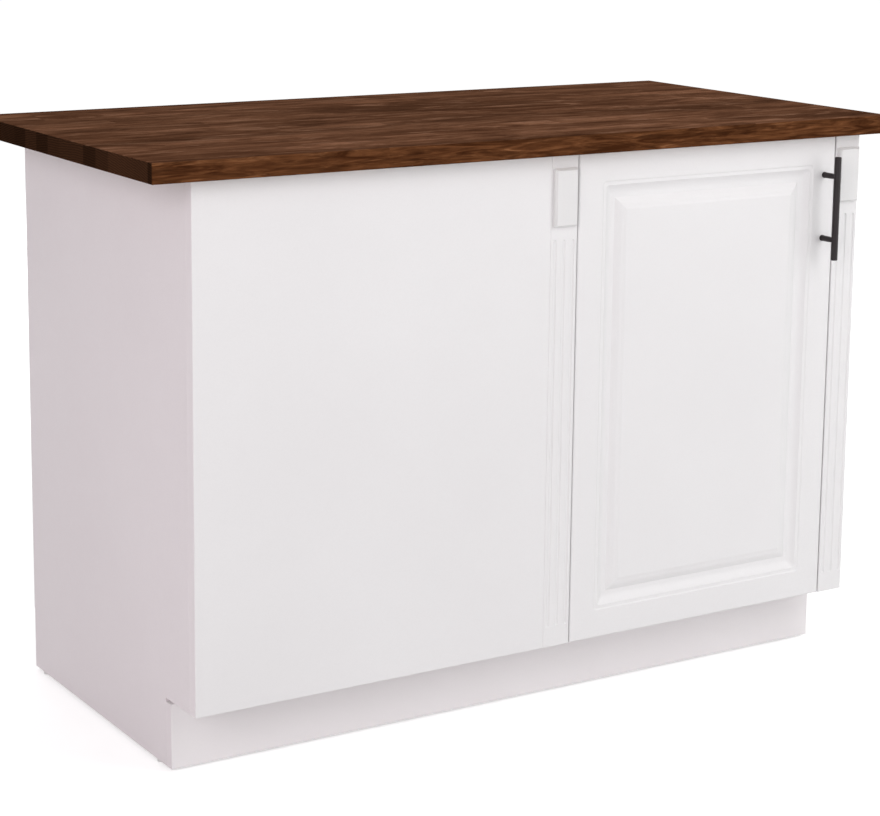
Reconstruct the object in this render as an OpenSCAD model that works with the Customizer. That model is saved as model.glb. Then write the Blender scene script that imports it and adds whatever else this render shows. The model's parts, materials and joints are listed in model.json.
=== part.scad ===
// Free-standing kitchen island: a base cabinet with a plain blind front, one raised-panel door
// between two fluted pilasters, a recessed plinth and an overhanging wooden worktop.
// Everything is drawn with x along the front from the left side face, y back from the face of the
// fronts and z up from the floor. The finished model is then set over its own footprint.

/* [Cabinet] */
// Width over both side panels
body_w = 1120; // [1020:10:1400]
// Depth of the side panels, behind the fronts and before the back
carcass_d = 535; // [450:5:600]
// Height of the carcass top above the floor
carcass_top = 820; // [700:10:900]
// Height of the fronts' lower edge above the floor
fronts_bottom = 102; // [80:2:140]
// Thickness of the melamine boards
board_t = 16; // [15:1:19]
// Thickness of the hardboard back
back_t = 3; // [3:1:6]
// Height of the shelf above the floor
shelf_z = 440; // [330:10:560]
// Depth of the two top rails and of the hinge stile
rail_d = 80; // [74:2:100]
// Width of the narrow strips behind the fronts
strip_w = 40; // [36:2:50]

/* [Worktop] */
// Thickness of the worktop
worktop_t = 28; // [25:1:40]
// Overhang in front of the fronts
overhang_front = 25; // [10:1:60]
// Overhang past the left side
overhang_left = 66; // [10:2:150]
// Overhang past the right side
overhang_right = 34; // [10:2:150]
// Overhang behind the back
overhang_back = 19; // [5:1:100]
// Radius of the worktop's edges
worktop_edge = 2.5; // [1:0.5:5]

/* [Fronts] */
// Thickness of the blind front and the pilasters
front_t = 18; // [18:1:22]
// Thickness of the door
door_t = 16; // [16:0.5:18]
// Width of the blind front
blind_w = 555; // [480:5:600]
// Gap round the door and under the worktop
front_gap = 2; // [2:0.5:4]
// Chamfer on the edges of boards
edge_c = 0.6; // [0.3:0.1:1]

/* [Pilasters] */
// Width of each pilaster
pilaster_w = 45; // [42:1:60]
// Distance between the flutes
flute_pitch = 15; // [8:1:16]
// Radius of the cutter that makes a flute
flute_r = 3.6; // [2:0.1:4]
// Depth of a flute
flute_depth = 1.6; // [1:0.1:3]
// Plain length under the flutes
flute_foot = 29; // [15:1:60]
// Plain length between the block and the flutes
flute_head = 18; // [10:1:40]
// Width of the raised block
block_w = 38; // [26:1:41]
// Height of the raised block
block_h = 82; // [50:1:120]
// How far the block stands proud
block_proud = 7; // [4:0.5:10]
// Distance of the block below the pilaster's top
block_drop = 19; // [8:1:40]
// Chamfer round the block's face
block_c = 2.5; // [1:0.5:3]

/* [Door panel] */
// Width of the door's upright frame members
stile_w = 41; // [40:1:80]
// Width of the door's level frame members
rail_w = 41; // [36:1:80]
// Width of the shallow step inside the frame
step_w = 7; // [4:0.5:10]
// Depth of the shallow step
step_d = 1.2; // [0.6:0.1:2]
// Depth of the groove round the raised field
groove_depth = 7; // [4:0.5:8]
// Width of the cove from the step into the groove
cove_w = 14; // [8:0.5:18]
// Width of the slope out of the groove
slope_w = 12; // [8:0.5:20]
// Width of the gentle lip from the slope to the field
lip_w = 6.5; // [4:0.5:10]
// Radius of the door's outer edge
door_edge = 2.5; // [1:0.5:4]

/* [Plinth] */
// Distance of the plinth behind the face of the fronts
toe_recess = 75; // [60:1:100]
// Thickness of the plinth board
plinth_t = 16; // [15:1:19]
// Gap over the plinth board
plinth_gap = 5; // [2:1:10]
// Height of the glides under the sides
glide_h = 4; // [3:1:8]

/* [Handle] */
// Length of the bar
bar_l = 156; // [130:2:260]
// Diameter of the bar
bar_d = 10; // [10:1:14]
// Distance between the posts
post_pitch = 96; // [64:32:128]
// Diameter of the posts
post_d = 9; // [8:1:10]
// Distance of the bar's middle from the door's face
bar_reach = 30; // [24:1:36]
// Distance of the handle from the door's free edge
handle_inset = 20.5; // [18:0.5:45]
// Distance of the handle's middle below the door's top
handle_drop = 106; // [95:1:200]

/* [Hinges] */
// Distance of each hinge from the door's end
hinge_end = 100; // [80:5:140]
// Diameter of the hinge cup
cup_d = 35; // [34:0.5:36]
// Depth of the hinge cup
cup_depth = 12.5; // [12:0.5:13]
// Distance of the cup from the door's edge
cup_edge = 4; // [3.5:0.5:4.5]

/* [Shelf] */
// Gap at each end of the shelf
shelf_play = 1; // [0.5:0.5:3]
// Distance of the shelf behind the hinge stile
shelf_setback = 10; // [5:1:60]

/* [Hidden] */
$fn = 48;

white = "#f4f2f3";
steel = "#b9bcc0";
black = "#1c1b1b";
wood = "#5f3d29";
beech = "#d9b98c";
plastic = "#dededc";

fit = 0.05;        // clearance round a pin or screw in its hole
over = 1;          // how far a cutter passes a face
bed = 0.4;         // spare depth at the end of a blind hole
hair = 0.01;       // how far cutters that meet pass into each other
arc_step = 15;     // degrees between the points of a drawn arc

// Levels and planes
carcass_back = front_t + carcass_d;
floor_in = fronts_bottom + board_t;
rail_z = carcass_top - board_t;
fronts_top = carcass_top - front_gap;
front_h = fronts_top - fronts_bottom;
plinth_top = fronts_bottom - plinth_gap;
plinth_back = toe_recess + plinth_t;
body_back = carcass_back + back_t;
right_in = body_w - board_t;
bottom_mid = fronts_bottom + board_t / 2;
rail_mid = rail_z + board_t / 2;

// The front's divisions
door_x = blind_w + pilaster_w + front_gap;
door_right = body_w - pilaster_w - front_gap;
door_w = door_right - door_x;
right_pilaster_x = body_w - pilaster_w;

// Boards behind the fronts: the level ones stand back so that the door's corner can pass
level_back = 3;
level_y = front_t + level_back;
stile_overlap = 1;
stile_right = door_x + stile_overlap;
stile_x = stile_right - board_t;
stile_y = front_t + rail_d;
middle_strip_w = 2 * strip_w;
strip_y = front_t + board_t;
upright_h = rail_z - floor_in;

// Back and shelf
back_inset = 1;
back_drop = 6;
back_low = fronts_bottom - back_drop;
shelf_y = stile_y + shelf_setback;
shelf_back_gap = 2;

// Pilasters
flute_bottom = fronts_bottom + flute_foot;
block_z = fronts_top - block_drop - block_h;
flute_top = block_z - flute_head;

// The moulding from the door's frame in to its raised field, as [distance in, depth]: a soft
// step, a cove, a flat floor, a slope and a gentle lip
step_soft = 3;
floor_w = 5;
lip_d = 1.8;
field_d = 0.5;
slope_bow = 1.5;
cove_in = step_w;
groove_in = cove_in + cove_w;
slope_in = groove_in + floor_w;
lip_in = slope_in + slope_w;
moulding_w = lip_in + lip_w;
function ease(s) = (1 - cos(180 * s)) / 2;
step_line = [for (s = [0 : 0.25 : 1]) [step_soft * s, step_d * ease(s)]];
cove_line = [for (s = [0 : 1 / 6 : 1])
    [cove_in + cove_w * s, step_d + (groove_depth - step_d) * (1 - pow(1 - s, 2))]];
slope_line = [for (s = [0 : 0.2 : 1])
    [slope_in + slope_w * s, lip_d + (groove_depth - lip_d) * pow(1 - s, slope_bow)]];
lip_line = [for (s = [0.25 : 0.25 : 1])
    [lip_in + lip_w * s, lip_d + (field_d - lip_d) * ease(s)]];
moulding = concat([[0, -over]], step_line, cove_line, slope_line, lip_line,
                  [[moulding_w + hair, field_d], [moulding_w + hair, -over]]);
edge_round = concat([[-over, -over], [door_edge, -over]],
                    [for (a = [90 : -arc_step : 0])
                        [door_edge * (1 - cos(a)), door_edge * (1 - sin(a))]],
                    [[-over, door_edge]]);
block_bevel = [[-over, -over], [block_c + over, -over], [-over, block_c + over]];

// Screws
screw_d = 4;
screw_head_d = 8;
small_d = 3;
small_head_d = 6;
post_bite = 24;
front_bite = 12;
worktop_bite = 18;
back_bite = 15;
post_screw_l = board_t + post_bite;
front_screw_l = board_t + front_bite;
worktop_screw_l = board_t + worktop_bite;
back_screw_l = back_t + back_bite;
bracket_screw_l = 12;
cup_screw_l = 11;
plate_screw_l = 14;
strip_screw_y = (level_y + strip_y) / 2;
front_screw_in = 20;
front_screw_end = 44;
front_screw_zs = [floor_in + front_screw_end, (floor_in + rail_z) / 2,
                  rail_z - front_screw_end];
worktop_screw_side = 130;
worktop_screw_by_stile = 48;
worktop_screw_xs = [worktop_screw_side, stile_x - worktop_screw_by_stile,
                    body_w - worktop_screw_side];
back_screw_end = 40;
back_screw_side = 150;
back_screw_step = (rail_z - floor_in - 2 * back_screw_end) / 3;
back_screw_zs = [for (i = [0 : 3]) floor_in + back_screw_end + i * back_screw_step];
back_screw_xs = [back_screw_side, body_w / 2, body_w - back_screw_side];

// Dowels, cam fittings and shelf pins
dowel_d = 8;
dowel_l = 30;
dowel_in = 10;
dowel_setback = 110;
rail_dowel_step = 24;
cam_d = 15;
cam_h = 12.5;
cam_in = 24;
cam_x = board_t + cam_in;
cam_setback = 60;
cam_slot_l = 9;
cam_slot_w = 1.2;
cam_slot_d = 1.2;
bolt_d = 6;
bolt_in = 10;
bolt_short = 2;
bottom_cams = [front_t + cam_setback, carcass_back - cam_setback];
bottom_dowels = [front_t + dowel_setback, carcass_back - dowel_setback];
rail_cams = [front_t + rail_d / 2, carcass_back - rail_d / 2];
pin_d = 5;
pin_in = 8;
pin_out = 9;
pin_setback = 45;
pin_ys = [shelf_y + pin_setback, carcass_back - pin_setback];

// Glides and plinth brackets
glide_d = 14;
nail_d = 2;
nail_l = 14;
glide_setback = 30;
glide_ys = [plinth_back + glide_setback, carcass_back - glide_setback];
bracket_w = 30;
bracket_l = 40;
bracket_t = 2;
bracket_hole_in = 10;
bracket_side = 100;
bracket_xs = [bracket_side, body_w / 2, body_w - bracket_side];

// Hinge: a pin across the cup carries the eye of a cranked arm
axis_in = 9;
axis_deep = 7;
axis_x = door_x + axis_in;
axis_y = axis_deep;
hinge_zs = [fronts_bottom + hinge_end, fronts_top - hinge_end];
hinge_pin_d = 3;
eye_r = 2.6;
neck_r = 13.8;
neck_front = 1.5;
arm_h = 11;
arm_t = 2.4;
arm_clear = 0.3;
lug_t = 2;
lug_root = 0.2;
cup_x = door_x + cup_edge + cup_d / 2;
cup_wall = 0.8;
cup_in_r = cup_d / 2 - cup_wall;
cup_floor = door_t - cup_depth + cup_wall;
flange_t = 1.2;
flange_lip = 1.5;
flange_r = cup_d / 2 + flange_lip;
flange_in = 3;
flange_w = 16;
flange_l = 58;
flange_near = 4;
cup_screw_pitch = 48;
cup_screw_in = 6;
plate_t = 2;
plate_w = 32;
plate_h = 50;
plate_screw_pitch = 32;
plate_setback = 37;
plate_y = front_t + plate_setback - plate_w / 2;
arm_x = stile_right + plate_t;
arm_past_plate = 4;
arm_end = plate_y + plate_w + arm_past_plate;
arm_screw_in = 8;
arm_screw_y = plate_y + plate_w - arm_screw_in;
arm_screw_head_h = 2;

// Handle and bumpers
handle_x = door_right - handle_inset;
handle_z = fronts_top - handle_drop;
bar_c = 1;
handle_screw_d = 4;
handle_screw_in = 10;
handle_screw_head_d = 8;
handle_screw_head_h = 1.6;
bumper_d = 7;
bumper_t = front_t - door_t;
bumper_inset = 4;
bumper_end = 24;

// Size of the whole, for the origin under the middle of its box
whole_left = -overhang_left;
whole_right = body_w + overhang_right;
whole_front = -max(bar_reach + bar_d / 2, overhang_front);
whole_back = body_back + overhang_back;

module place() {
    translate([-(whole_left + whole_right) / 2, -(whole_front + whole_back) / 2, 0]) children();
}

// ---- shapes that repeat ----

module chamfered_rect(w, h, c) {
    polygon([[c, 0], [w - c, 0], [w, c], [w, h - c], [w - c, h], [c, h], [0, h - c], [0, c]]);
}

module rounded_rect(w, h, r) {
    translate([r, 0]) square([w - 2 * r, h]);
    translate([0, r]) square([w, h - 2 * r]);
    for (x = [r, w - r]) for (y = [r, h - r]) translate([x, y]) circle(r);
}

// Box with a small chamfer on all twelve edges
module board(size, c = edge_c) {
    intersection() {
        linear_extrude(size.z) chamfered_rect(size.x, size.y, c);
        translate([0, size.y, 0]) rotate([90, 0, 0]) linear_extrude(size.y)
            chamfered_rect(size.x, size.z, c);
        rotate([90, 0, 90]) linear_extrude(size.x) chamfered_rect(size.y, size.z, c);
    }
}

// Box with all twelve edges rounded
module rounded_board(size, r) {
    intersection() {
        linear_extrude(size.z) rounded_rect(size.x, size.y, r);
        translate([0, size.y, 0]) rotate([90, 0, 0]) linear_extrude(size.y)
            rounded_rect(size.x, size.z, r);
        rotate([90, 0, 90]) linear_extrude(size.x) rounded_rect(size.y, size.z, r);
    }
}

// Countersunk screw pointing up, its head's face at z = 0; slack turns it into its own hole
module screw(l, d, head_d, slack = 0) {
    head_h = (head_d - d) / 2;
    translate([0, 0, slack > 0 ? -over : 0])
        cylinder(h = l + (slack > 0 ? over + bed : 0), d = d + 2 * slack);
    cylinder(h = head_h, d1 = head_d + 2 * slack, d2 = d + 2 * slack);
    if (slack > 0) translate([0, 0, -over]) cylinder(h = over + hair, d = head_d + 2 * slack);
}

// Round peg along x from x = 0
module peg_x(l, d) {
    rotate([0, 90, 0]) cylinder(h = l, d = d);
}

module both_sides() {
    children();
    translate([body_w, 0, 0]) mirror([1, 0, 0]) children();
}

module at_hinge(i) {
    translate([0, 0, hinge_zs[i]]) children();
}

// A cutter that runs round a w x h rectangle in the xz plane with mitred corners. Its outline
// is given as [distance in from the rectangle, depth behind the face at y = 0].
module mitred_cut(w, h, outline, reach) {
    module side(l) {
        intersection() {
            rotate([90, 0, 90]) linear_extrude(l) polygon([for (p = outline) [p.y, p.x]]);
            translate([0, 2 * reach, 0]) rotate([90, 0, 0]) linear_extrude(4 * reach)
                polygon([[0, 0], [l, 0], [l - reach, reach], [reach, reach]]);
        }
    }
    side(w);
    translate([w, 0, h]) rotate([0, 180, 0]) side(w);
    translate([w, 0, 0]) rotate([0, -90, 0]) side(h);
    translate([0, 0, h]) rotate([0, 90, 0]) side(h);
}

// ---- carcass ----

module joinery_holes(ys_cam, ys_dowel, z) {
    for (y = ys_cam) translate([board_t - bolt_in - bed, y, z])
        peg_x(cam_in + bolt_in + bed, bolt_d + 2 * fit);
    for (y = ys_dowel) translate([board_t - dowel_in - bed, y, z])
        peg_x(dowel_l + 2 * bed, dowel_d + 2 * fit);
}

function rail_dowels(i) = [rail_cams[i] - rail_dowel_step, rail_cams[i] + rail_dowel_step];

module all_joinery_holes() {
    joinery_holes(bottom_cams, bottom_dowels, bottom_mid);
    for (i = [0, 1]) joinery_holes([rail_cams[i]], rail_dowels(i), rail_mid);
}

module cam_holes(ys, z) {
    for (y = ys) translate([cam_x, y, z - over])
        cylinder(h = cam_h + over, d = cam_d + 2 * fit);
}

module all_cam_holes() {
    cam_holes(bottom_cams, fronts_bottom);
    cam_holes(rail_cams, rail_z);
}

module side_panel() {
    difference() {
        translate([0, front_t, glide_h]) board([board_t, carcass_d, carcass_top - glide_h]);
        translate([-over, front_t - over, glide_h - over])
            cube([board_t + 2 * over, plinth_back - front_t + over,
                  fronts_bottom - glide_h + over]);
        all_joinery_holes();
        for (y = pin_ys) translate([board_t - pin_in - bed, y, shelf_z - pin_d / 2])
            peg_x(pin_in + bed + over, pin_d + 2 * fit);
        for (y = glide_ys) translate([board_t / 2, y, glide_h - over])
            cylinder(h = nail_l + over + bed, d = nail_d + 2 * fit);
        back_screw_places() screw(back_screw_l, small_d, small_head_d, fit);
    }
}

module left_side_panel() {
    color(white) side_panel();
}

module right_side_panel() {
    color(white) translate([body_w, 0, 0]) mirror([1, 0, 0]) side_panel();
}

module bottom_panel() {
    color(white) difference() {
        translate([board_t, level_y, fronts_bottom])
            board([body_w - 2 * board_t, carcass_back - level_y, board_t]);
        both_sides() {
            all_joinery_holes();
            all_cam_holes();
        }
        post_screw_places() screw(post_screw_l, screw_d, screw_head_d, fit);
        back_screw_places() screw(back_screw_l, small_d, small_head_d, fit);
        bracket_top_screw_places() screw(bracket_screw_l, small_d, small_head_d, fit);
    }
}

module rail(y0, y1) {
    difference() {
        translate([board_t, y0, rail_z]) board([body_w - 2 * board_t, y1 - y0, board_t]);
        both_sides() {
            all_joinery_holes();
            all_cam_holes();
        }
        post_screw_places() screw(post_screw_l, screw_d, screw_head_d, fit);
        worktop_screw_places() screw(worktop_screw_l, screw_d, screw_head_d, fit);
        back_screw_places() screw(back_screw_l, small_d, small_head_d, fit);
    }
}

module front_rail() {
    color(white) rail(level_y, stile_y);
}

module rear_rail() {
    color(white) rail(carcass_back - rail_d, carcass_back);
}

module back_panel() {
    color(white) difference() {
        translate([back_inset, carcass_back, back_low])
            cube([body_w - 2 * back_inset, back_t, carcass_top - back_inset - back_low]);
        back_screw_places() screw(back_screw_l, small_d, small_head_d, fit);
    }
}

module upright(x, w, d) {
    difference() {
        translate([x, front_t, floor_in]) board([w, d, upright_h]);
        post_screw_places() screw(post_screw_l, screw_d, screw_head_d, fit);
        front_screw_places() screw(front_screw_l, screw_d, screw_head_d, fit);
        for (i = [0, 1]) at_hinge(i) plate_screw_places()
            screw(plate_screw_l, small_d, small_head_d, fit);
    }
}

module hinge_stile() {
    color(white) upright(stile_x, board_t, rail_d);
}

module left_strip() {
    color(white) upright(board_t, strip_w, board_t);
}

module middle_strip() {
    color(white) upright(stile_x - middle_strip_w, middle_strip_w, board_t);
}

module right_strip() {
    color(white) upright(right_in - strip_w, strip_w, board_t);
}

module shelf() {
    color(white) translate([board_t + shelf_play, shelf_y, shelf_z])
        board([body_w - 2 * board_t - 2 * shelf_play, carcass_back - shelf_back_gap - shelf_y,
               board_t]);
}

module shelf_pins() {
    color(steel) both_sides() for (y = pin_ys)
        translate([board_t - pin_in, y, shelf_z - pin_d / 2]) peg_x(pin_in + pin_out, pin_d);
}

// ---- worktop ----

module worktop() {
    color(wood) difference() {
        translate([whole_left, -overhang_front, carcass_top])
            rounded_board([whole_right - whole_left, overhang_front + whole_back, worktop_t],
                          worktop_edge);
        worktop_screw_places() screw(worktop_screw_l, screw_d, screw_head_d, fit);
    }
}

// ---- fixed fronts ----

module front_board(x, w) {
    translate([x, 0, fronts_bottom]) board([w, front_t, front_h]);
}

module blind_front() {
    color(white) difference() {
        front_board(0, blind_w);
        front_screw_places() screw(front_screw_l, screw_d, screw_head_d, fit);
    }
}

module flute() {
    translate([0, flute_depth - flute_r, 0]) {
        translate([0, 0, flute_bottom + flute_r])
            cylinder(h = flute_top - flute_bottom - 2 * flute_r, r = flute_r);
        for (z = [flute_bottom + flute_r, flute_top - flute_r])
            translate([0, 0, z]) sphere(flute_r);
    }
}

module pilaster(x) {
    difference() {
        front_board(x, pilaster_w);
        for (i = [-1, 0, 1]) translate([x + pilaster_w / 2 + i * flute_pitch, 0, 0]) flute();
        front_screw_places() screw(front_screw_l, screw_d, screw_head_d, fit);
    }
}

module middle_pilaster() {
    color(white) pilaster(blind_w);
}

module right_pilaster() {
    color(white) pilaster(right_pilaster_x);
}

// Block with a chamfered face and a square back glued to its pilaster
module block(x) {
    translate([x + (pilaster_w - block_w) / 2, -block_proud, block_z]) difference() {
        cube([block_w, block_proud, block_h]);
        mitred_cut(block_w, block_h, block_bevel, block_c + over);
    }
}

module middle_block() {
    color(white) block(blind_w);
}

module right_block() {
    color(white) block(right_pilaster_x);
}

// ---- plinth and feet ----

module plinth_board() {
    color(white) difference() {
        translate([0, toe_recess, glide_h])
            board([body_w, plinth_t, plinth_top - glide_h]);
        bracket_side_screw_places() screw(bracket_screw_l, small_d, small_head_d, fit);
    }
}

module plinth_brackets() {
    color(steel) difference() {
        for (x = bracket_xs) translate([x - bracket_w / 2, plinth_back, 0]) {
            translate([0, 0, fronts_bottom - bracket_l]) cube([bracket_w, bracket_t, bracket_l]);
            translate([0, 0, fronts_bottom - bracket_t]) cube([bracket_w, bracket_l, bracket_t]);
        }
        bracket_side_screw_places() screw(bracket_screw_l, small_d, small_head_d, fit);
        bracket_top_screw_places() screw(bracket_screw_l, small_d, small_head_d, fit);
    }
}

module plinth_screws() {
    color(steel) {
        bracket_side_screw_places() screw(bracket_screw_l, small_d, small_head_d);
        bracket_top_screw_places() screw(bracket_screw_l, small_d, small_head_d);
    }
}

module floor_glides() {
    color(plastic) both_sides() for (y = glide_ys) translate([board_t / 2, y, 0]) {
        cylinder(h = glide_h, d = glide_d);
        cylinder(h = glide_h + nail_l, d = nail_d);
    }
}

// ---- fasteners: each list of places serves the holes and the screws alike ----

module post_screw_places() {
    for (p = [[stile_x + board_t / 2, front_t + rail_d / 2],
              [board_t + strip_w / 2, strip_screw_y],
              [stile_x - middle_strip_w / 2, strip_screw_y],
              [right_in - strip_w / 2, strip_screw_y]]) {
        translate([p.x, p.y, fronts_bottom]) children();
        translate([p.x, p.y, carcass_top]) rotate([180, 0, 0]) children();
    }
}

module front_screw_places() {
    for (x = [board_t + strip_w / 2, blind_w - front_screw_in, (blind_w + stile_x) / 2,
              (right_pilaster_x + right_in) / 2])
        for (z = front_screw_zs) translate([x, strip_y, z]) rotate([90, 0, 0]) children();
}

module worktop_screw_places() {
    for (x = worktop_screw_xs) for (y = rail_cams) translate([x, y, rail_z]) children();
}

module back_screw_places() {
    for (x = [board_t / 2, body_w - board_t / 2]) for (z = back_screw_zs)
        translate([x, body_back, z]) rotate([90, 0, 0]) children();
    for (x = back_screw_xs) for (z = [bottom_mid, rail_mid])
        translate([x, body_back, z]) rotate([90, 0, 0]) children();
}

module bracket_side_screw_places() {
    for (x = bracket_xs)
        translate([x, plinth_back + bracket_t, fronts_bottom - bracket_l + bracket_hole_in])
            rotate([90, 0, 0]) children();
}

module bracket_top_screw_places() {
    for (x = bracket_xs)
        translate([x, plinth_back + bracket_l - bracket_hole_in, fronts_bottom - bracket_t])
            children();
}

module dowel_set(ys, z) {
    for (y = ys) translate([board_t - dowel_in, y, z]) peg_x(dowel_l, dowel_d);
}

module dowels() {
    color(beech) both_sides() {
        dowel_set(bottom_dowels, bottom_mid);
        for (i = [0, 1]) dowel_set(rail_dowels(i), rail_mid);
    }
}

module bolt_set(ys, z) {
    for (y = ys) translate([board_t - bolt_in, y, z])
        peg_x(cam_in + bolt_in - bolt_short, bolt_d);
}

module cam_bolts() {
    color(steel) both_sides() {
        bolt_set(bottom_cams, bottom_mid);
        bolt_set(rail_cams, rail_mid);
    }
}

module cam_set(ys, z) {
    for (y = ys) translate([cam_x, y, z]) difference() {
        cylinder(h = cam_h, d = cam_d);
        translate([-cam_d, 0, board_t / 2]) peg_x(cam_d, bolt_d + 4 * fit);
        translate([-cam_slot_l / 2, -cam_slot_w / 2, -over])
            cube([cam_slot_l, cam_slot_w, over + cam_slot_d]);
    }
}

module cam_locks() {
    color(steel) both_sides() {
        cam_set(bottom_cams, fronts_bottom);
        cam_set(rail_cams, rail_z);
    }
}

module post_screws() {
    color(steel) post_screw_places() screw(post_screw_l, screw_d, screw_head_d);
}

module front_screws() {
    color(steel) front_screw_places() screw(front_screw_l, screw_d, screw_head_d);
}

module worktop_screws() {
    color(steel) worktop_screw_places() screw(worktop_screw_l, screw_d, screw_head_d);
}

module back_screws() {
    color(steel) back_screw_places() screw(back_screw_l, small_d, small_head_d);
}

// ---- door ----

module door() {
    color(white) difference() {
        translate([door_x, 0, fronts_bottom]) difference() {
            cube([door_w, door_t, front_h]);
            mitred_cut(door_w, front_h, edge_round, door_edge);
            translate([stile_w, 0, rail_w])
                mitred_cut(door_w - 2 * stile_w, front_h - 2 * rail_w, moulding,
                           moulding_w + hair);
            translate([stile_w + moulding_w, -over, rail_w + moulding_w])
                cube([door_w - 2 * stile_w - 2 * moulding_w, over + field_d,
                      front_h - 2 * rail_w - 2 * moulding_w]);
        }
        for (i = [0, 1]) at_hinge(i) {
            translate([cup_x, door_t + over, 0]) rotate([90, 0, 0])
                cylinder(h = cup_depth + over, d = cup_d);
            cup_screw_places() screw(cup_screw_l, small_d, small_head_d, fit);
        }
        for (z = [-1, 1]) translate([handle_x, door_t + over, handle_z + z * post_pitch / 2])
            rotate([90, 0, 0]) cylinder(h = door_t + 2 * over, d = handle_screw_d + 2 * fit);
    }
}

// ---- hinges ----

module cup_screw_places() {
    for (z = [-1, 1])
        translate([cup_x + cup_screw_in, door_t + flange_t, z * cup_screw_pitch / 2])
            rotate([90, 0, 0]) children();
}

// Plain cup with a flange and, inside it, two lugs that carry the pin on either side of the arm
module hinge_cup(i) {
    at_hinge(i) difference() {
        union() {
            difference() {
                union() {
                    translate([cup_x, door_t, 0]) rotate([90, 0, 0])
                        cylinder(h = cup_depth - fit, d = cup_d - 2 * fit);
                    intersection() {
                        translate([cup_x, door_t + flange_t, 0]) rotate([90, 0, 0])
                            cylinder(h = flange_t, r = flange_r);
                        translate([door_x + flange_in, 0, -cup_d])
                            cube([2 * cup_d, 2 * door_t, 2 * cup_d]);
                    }
                    translate([cup_x - flange_near, door_t, -flange_l / 2])
                        cube([flange_w, flange_t, flange_l]);
                }
                translate([cup_x, door_t + flange_t + over, 0]) rotate([90, 0, 0])
                    cylinder(h = door_t + flange_t + over - cup_floor, r = cup_in_r);
            }
            intersection() {
                for (z = [arm_h / 2 + arm_clear, -arm_h / 2 - arm_clear - lug_t])
                    translate([door_x, cup_floor - lug_root, z])
                        cube([axis_in + hinge_pin_d,
                              axis_y + hinge_pin_d - cup_floor + lug_root, lug_t]);
                translate([cup_x, door_t, 0]) rotate([90, 0, 0])
                    cylinder(h = cup_depth - lug_root, r = cup_in_r + lug_root);
            }
        }
        hinge_pin();
        cup_screw_places() screw(cup_screw_l, small_d, small_head_d, fit);
    }
}

module hinge_pin(h = arm_h + 2 * arm_clear + 2 * lug_t, d = hinge_pin_d) {
    translate([axis_x, axis_y, -h / 2]) cylinder(h = h, d = d);
}

module hinge_pins() {
    color(steel) for (i = [0, 1]) at_hinge(i) hinge_pin();
}

module upper_hinge_cup() {
    color(steel) hinge_cup(1);
}

module lower_hinge_cup() {
    color(steel) hinge_cup(0);
}

module hinge_cup_screws() {
    color(steel) for (i = [0, 1]) at_hinge(i) cup_screw_places()
        screw(cup_screw_l, small_d, small_head_d);
}

// Plan of the arm, x and y from the pin: eye, out past the cup's near rim, back, and along
// the plate
module arm_plan() {
    out = neck_r + arm_t;
    foot = arm_x - axis_x;
    circle(eye_r);
    translate([0, -neck_front]) square([out, arm_t]);
    translate([neck_r, -neck_front]) square([arm_t, out + neck_front]);
    translate([foot, neck_r]) square([out - foot, arm_t]);
    translate([foot, neck_r]) square([arm_t, arm_end - axis_y - neck_r]);
}

module hinge_arm(i) {
    at_hinge(i) difference() {
        translate([axis_x, axis_y, -arm_h / 2]) linear_extrude(arm_h) arm_plan();
        hinge_pin(arm_h + 2 * over, hinge_pin_d + 2 * fit);
        arm_screw_place() cylinder(h = 4 * arm_t, d = screw_d + 2 * fit, center = true);
    }
}

module upper_hinge_arm() {
    color(steel) hinge_arm(1);
}

module lower_hinge_arm() {
    color(steel) hinge_arm(0);
}

module arm_screw_place() {
    translate([arm_x, arm_screw_y, 0]) rotate([0, -90, 0]) children();
}

module hinge_arm_screws() {
    color(steel) for (i = [0, 1]) at_hinge(i) arm_screw_place()
        translate([0, 0, -arm_t]) {
            cylinder(h = arm_t + plate_t, d = screw_d);
            translate([0, 0, -arm_screw_head_h])
                cylinder(h = arm_screw_head_h, d = screw_head_d);
        }
}

module plate_screw_places() {
    for (z = [-1, 1])
        translate([arm_x, front_t + plate_setback, z * plate_screw_pitch / 2])
            rotate([0, -90, 0]) children();
}

module hinge_plate(i) {
    at_hinge(i) difference() {
        translate([stile_right, plate_y, -plate_h / 2]) cube([plate_t, plate_w, plate_h]);
        plate_screw_places() screw(plate_screw_l, small_d, small_head_d, fit);
        arm_screw_place() cylinder(h = 4 * plate_t, d = screw_d + 2 * fit, center = true);
    }
}

module upper_hinge_plate() {
    color(steel) hinge_plate(1);
}

module lower_hinge_plate() {
    color(steel) hinge_plate(0);
}

module hinge_plate_screws() {
    color(steel) for (i = [0, 1]) at_hinge(i) plate_screw_places()
        screw(plate_screw_l, small_d, small_head_d);
}

// ---- handle and bumpers ----

module handle_bar() {
    color(black) translate([handle_x, -bar_reach, handle_z - bar_l / 2])
        rotate_extrude() polygon([[0, 0], [bar_d / 2 - bar_c, 0], [bar_d / 2, bar_c],
                                  [bar_d / 2, bar_l - bar_c], [bar_d / 2 - bar_c, bar_l],
                                  [0, bar_l]]);
}

module handle_posts() {
    color(black) for (z = [-1, 1]) translate([handle_x, 0, handle_z + z * post_pitch / 2])
        difference() {
            rotate([90, 0, 0]) cylinder(h = bar_reach, d = post_d);
            translate([0, -bar_reach, -post_d]) cylinder(h = 2 * post_d, d = bar_d);
            translate([0, over, 0]) rotate([90, 0, 0])
                cylinder(h = over + handle_screw_in + bed, d = handle_screw_d + 2 * fit);
        }
}

module handle_screws() {
    color(steel) for (z = [-1, 1])
        translate([handle_x, door_t, handle_z + z * post_pitch / 2]) rotate([90, 0, 0]) {
            cylinder(h = door_t + handle_screw_in, d = handle_screw_d);
            translate([0, 0, -handle_screw_head_h])
                cylinder(h = handle_screw_head_h, d = handle_screw_head_d);
        }
}

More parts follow.
